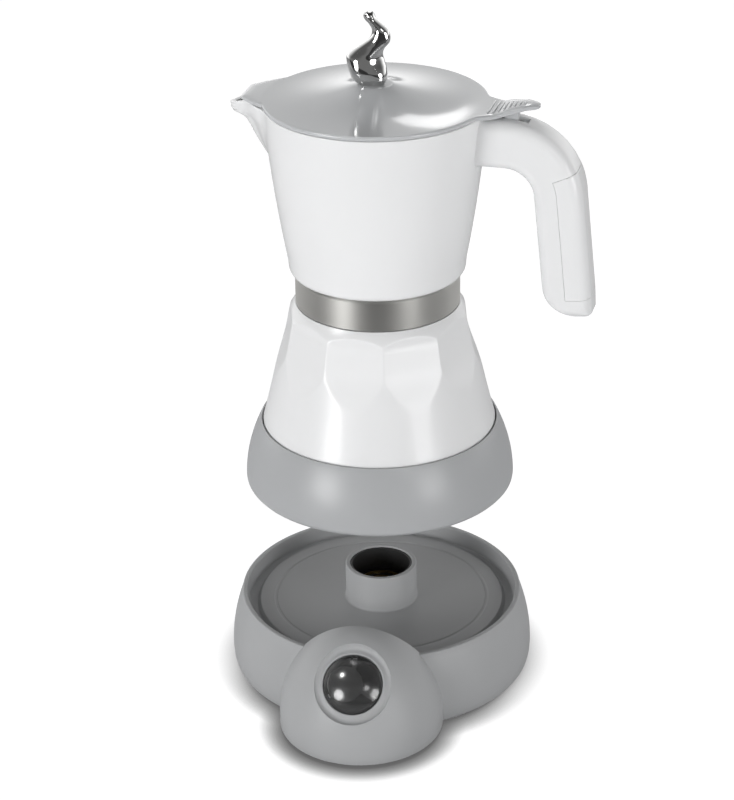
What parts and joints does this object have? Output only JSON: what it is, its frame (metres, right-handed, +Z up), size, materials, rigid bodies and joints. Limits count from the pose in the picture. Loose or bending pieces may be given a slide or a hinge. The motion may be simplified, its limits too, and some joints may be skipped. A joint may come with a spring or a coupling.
{
  "type": "electric moka pot",
  "caption": "Electric moka pot: faceted boiler, grey skirt, white jug with spout, lid, curled knob and handle, lifted above a cordless power base with a round push button.",
  "frame": {"origin": "on the table under the middle of the base's dish", "axes": "+Z up along the axis of the dish, the hub and the pot, -Y towards the button; the pot above is turned 6 degrees clockwise, its spout towards -X and its handle towards +X"},
  "size_m": [0.1808, 0.1835, 0.3415],
  "materials": {
    "housing_grey": "fine matt grey moulded plastic",
    "black_plastic": "black moulded plastic",
    "rubber_black": "black rubber",
    "steel_small": "plain steel",
    "contact_brass": "bare brass",
    "board_green": "coated circuit board",
    "white_small": "white moulded plastic",
    "lens_dark": "dark tinted glossy plastic",
    "boiler_white": "white gloss coating on cast aluminium",
    "cast_aluminium": "cast aluminium, as turned",
    "gasket_rubber": "white food-safe rubber",
    "collar_steel": "brushed round its girth",
    "jug_white": "white gloss plastic",
    "lid_grey": "light grey gloss plastic",
    "knob_chrome": "mirror chrome"
  },
  "bodies": {
    "base": {"base_housing": "housing_grey", "base_bottom_cover": "black_plastic", "rubber_feet": "rubber_black", "base_screws": "steel_small", "hub_connector": "black_plastic", "hub_contacts": "contact_brass", "switch_holder": "black_plastic", "power_switch": "white_small", "indicator_board": "board_green", "button_spring": "steel_small", "terminal_block": "white_small", "cord_grommet": "rubber_black"},
    "power_button": {"button_lens": "lens_dark", "button_core": "white_small"},
    "coupler": {"coupler_body": "black_plastic", "coupler_contacts": "contact_brass"},
    "pot": {"pot_skirt": "housing_grey", "pot_bottom_cover": "black_plastic", "pot_bottom_screws": "steel_small", "boiler": "boiler_white", "heating_plate": "cast_aluminium", "heating_element": "steel_small", "plate_screws": "steel_small", "thermostat": "black_plastic", "thermal_fuse": "white_small", "coffee_funnel": "cast_aluminium", "safety_valve": "contact_brass", "valve_spring": "steel_small"},
    "valve_pin": {"valve_pin": "contact_brass"},
    "gasket": {"gasket": "gasket_rubber"},
    "jug": {"steel_collar": "collar_steel", "collector_base": "cast_aluminium", "filter_plate": "cast_aluminium", "riser_column": "cast_aluminium", "riser_cap": "cast_aluminium", "jug_shell": "jug_white", "handle": "jug_white", "handle_cover": "jug_white", "handle_screw": "steel_small", "hinge_pin": "steel_small"},
    "lid": {"lid": "lid_grey", "lid_knob": "knob_chrome", "knob_screw": "steel_small"}
  },
  "joints": [
    {"name": "button_press", "type": "slide", "parent": "base", "child": "power_button", "axis": [0, 0.766, -0.6428], "range_m": [0, 0.003], "stiffness_N_per_m": 400, "springref_m": -0.002, "deforming": ["button_spring"]},
    {"name": "pot_lift", "type": "slide", "parent": "base", "child": "coupler", "axis": [0, 0, 1], "range_m": [-0.0698, 0.03]},
    {"name": "pot_swivel", "type": "hinge", "parent": "coupler", "child": "pot", "pos_m": [0, 0, 0.1042], "axis": [0, 0, 1], "continuous": true},
    {"name": "valve_pin_slide", "type": "slide", "parent": "pot", "child": "valve_pin", "axis": [-0.1001, -0.9526, -0.2873], "range_m": [0, 0.001], "stiffness_N_per_m": 300, "springref_m": -0.002, "deforming": ["valve_spring"]},
    {"name": "jug_rise", "type": "slide", "parent": "pot", "child": "gasket", "axis": [0, 0, 1], "range_m": [0, 0.008]},
    {"name": "jug_turn", "type": "hinge", "parent": "gasket", "child": "jug", "pos_m": [0, 0, 0.2], "axis": [0, 0, 1], "range_deg": [0, 720]},
    {"name": "lid_open", "type": "hinge", "parent": "jug", "child": "lid", "pos_m": [0.06415, -0.00674, 0.2927], "axis": [0.1045, 0.9945, 0], "range_deg": [0, 40]}
  ],
  "couplings": [
    {"joint": "jug_rise", "follows": "jug_turn", "m_per_rad": 0.00063662}
  ]
}
